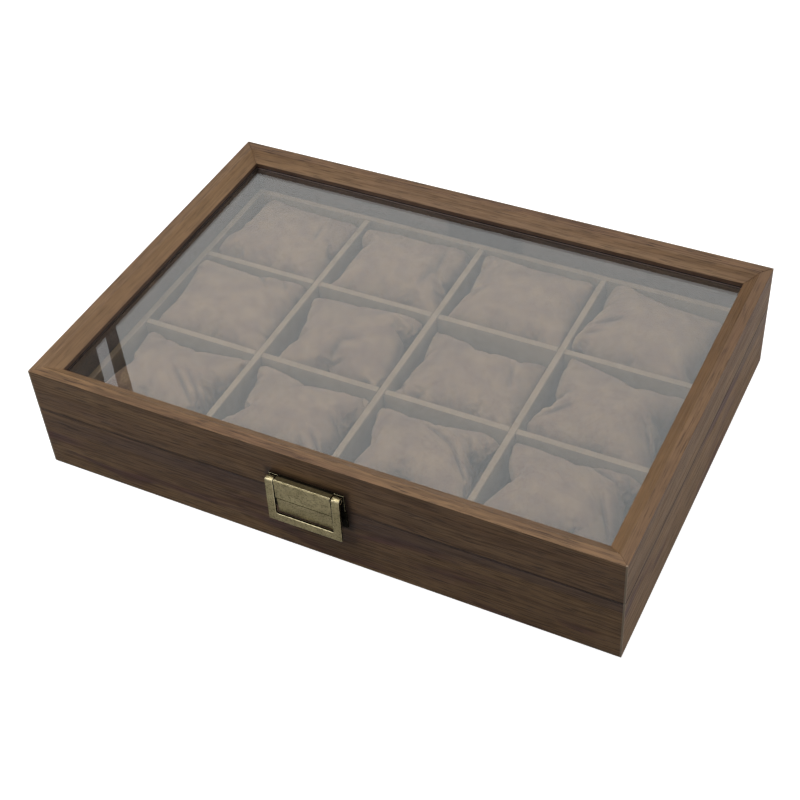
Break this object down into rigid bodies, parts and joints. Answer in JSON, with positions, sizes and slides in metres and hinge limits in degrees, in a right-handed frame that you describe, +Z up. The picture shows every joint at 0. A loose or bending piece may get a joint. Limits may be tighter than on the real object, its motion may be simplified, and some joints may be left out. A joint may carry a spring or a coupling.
{
  "type": "watch box",
  "caption": "Divided wooden display box for watches with a hinged glass lid, a bronze hasp latch and loose suede pillows.",
  "frame": {"origin": "centre of the wooden box on the plane it stands on, at the underside of the felt", "axes": "+X to the right along the long side, +Y from the latch towards the hinges, +Z up"},
  "size_m": [0.3, 0.2162, 0.0615],
  "materials": {
    "walnut": "satin open-grained walnut veneer",
    "plywood": "plain sanded board",
    "felt": "dense short felt",
    "velvet": "short flat velvet on board",
    "dark_strip": "dark stained satin strip",
    "glass": "clear polished glass",
    "suede": "soft brushed suede",
    "bronze": "antique bronze, brushed with worn edges",
    "bronze_dark": "dull antique bronze"
  },
  "bodies": {
    "base": {"base_wall_front": "walnut", "base_wall_right": "walnut", "base_wall_back": "walnut", "base_wall_left": "walnut", "bottom_panel": "plywood", "underside_felt": "felt", "floor_lining": "velvet", "lining_front": "velvet", "lining_right": "velvet", "lining_back": "velvet", "lining_left": "velvet", "divider_column_left": "velvet", "divider_column_middle": "velvet", "divider_column_right": "velvet", "divider_row_front": "velvet", "divider_row_back": "velvet", "hinge_base_leaf_left": "bronze_dark", "hinge_base_leaf_right": "bronze_dark", "hinge_pin_left": "bronze_dark", "hinge_pin_right": "bronze_dark", "hinge_base_screws": "bronze_dark", "catch_plate_pins": "bronze_dark", "catch_plate": "bronze"},
    "lid": {"lid_rail_front": "walnut", "lid_rail_right": "walnut", "lid_rail_back": "walnut", "lid_rail_left": "walnut", "glass_pane": "glass", "lid_lining_front": "dark_strip", "lid_lining_right": "dark_strip", "lid_lining_back": "dark_strip", "lid_lining_left": "dark_strip", "hinge_lid_leaf_left": "bronze_dark", "hinge_lid_leaf_right": "bronze_dark", "hinge_lid_screws": "bronze_dark", "latch_plate_pins": "bronze_dark", "latch_rod": "bronze_dark", "latch_plate": "bronze"},
    "bail": {"latch_bail": "bronze"},
    "pillow_front_1_body": {"pillow_front_1": "suede"},
    "pillow_front_2_body": {"pillow_front_2": "suede"},
    "pillow_front_3_body": {"pillow_front_3": "suede"},
    "pillow_front_4_body": {"pillow_front_4": "suede"},
    "pillow_middle_1_body": {"pillow_middle_1": "suede"},
    "pillow_middle_2_body": {"pillow_middle_2": "suede"},
    "pillow_middle_3_body": {"pillow_middle_3": "suede"},
    "pillow_middle_4_body": {"pillow_middle_4": "suede"},
    "pillow_back_1_body": {"pillow_back_1": "suede"},
    "pillow_back_2_body": {"pillow_back_2": "suede"},
    "pillow_back_3_body": {"pillow_back_3": "suede"},
    "pillow_back_4_body": {"pillow_back_4": "suede"}
  },
  "joints": [
    {"name": "lid_hinge", "type": "hinge", "parent": "base", "child": "lid", "pos_m": [0, 0.1051, 0.037], "axis": [-1, 0, 0], "range_deg": [0, 95]},
    {"name": "bail_swing", "type": "hinge", "parent": "lid", "child": "bail", "pos_m": [0, -0.1061, 0.0458], "axis": [-1, 0, 0], "range_deg": [-5, 150]},
    {"name": "pillow_front_1_lift", "type": "slide", "parent": "base", "child": "pillow_front_1_body", "axis": [0, 0, 1], "range_m": [0, 0.005]},
    {"name": "pillow_front_2_lift", "type": "slide", "parent": "base", "child": "pillow_front_2_body", "axis": [0, 0, 1], "range_m": [0, 0.005]},
    {"name": "pillow_front_3_lift", "type": "slide", "parent": "base", "child": "pillow_front_3_body", "axis": [0, 0, 1], "range_m": [0, 0.005]},
    {"name": "pillow_front_4_lift", "type": "slide", "parent": "base", "child": "pillow_front_4_body", "axis": [0, 0, 1], "range_m": [0, 0.005]},
    {"name": "pillow_middle_1_lift", "type": "slide", "parent": "base", "child": "pillow_middle_1_body", "axis": [0, 0, 1], "range_m": [0, 0.005]},
    {"name": "pillow_middle_2_lift", "type": "slide", "parent": "base", "child": "pillow_middle_2_body", "axis": [0, 0, 1], "range_m": [0, 0.005]},
    {"name": "pillow_middle_3_lift", "type": "slide", "parent": "base", "child": "pillow_middle_3_body", "axis": [0, 0, 1], "range_m": [0, 0.005]},
    {"name": "pillow_middle_4_lift", "type": "slide", "parent": "base", "child": "pillow_middle_4_body", "axis": [0, 0, 1], "range_m": [0, 0.005]},
    {"name": "pillow_back_1_lift", "type": "slide", "parent": "base", "child": "pillow_back_1_body", "axis": [0, 0, 1], "range_m": [0, 0.005]},
    {"name": "pillow_back_2_lift", "type": "slide", "parent": "base", "child": "pillow_back_2_body", "axis": [0, 0, 1], "range_m": [0, 0.005]},
    {"name": "pillow_back_3_lift", "type": "slide", "parent": "base", "child": "pillow_back_3_body", "axis": [0, 0, 1], "range_m": [0, 0.005]},
    {"name": "pillow_back_4_lift", "type": "slide", "parent": "base", "child": "pillow_back_4_body", "axis": [0, 0, 1], "range_m": [0, 0.005]}
  ]
}
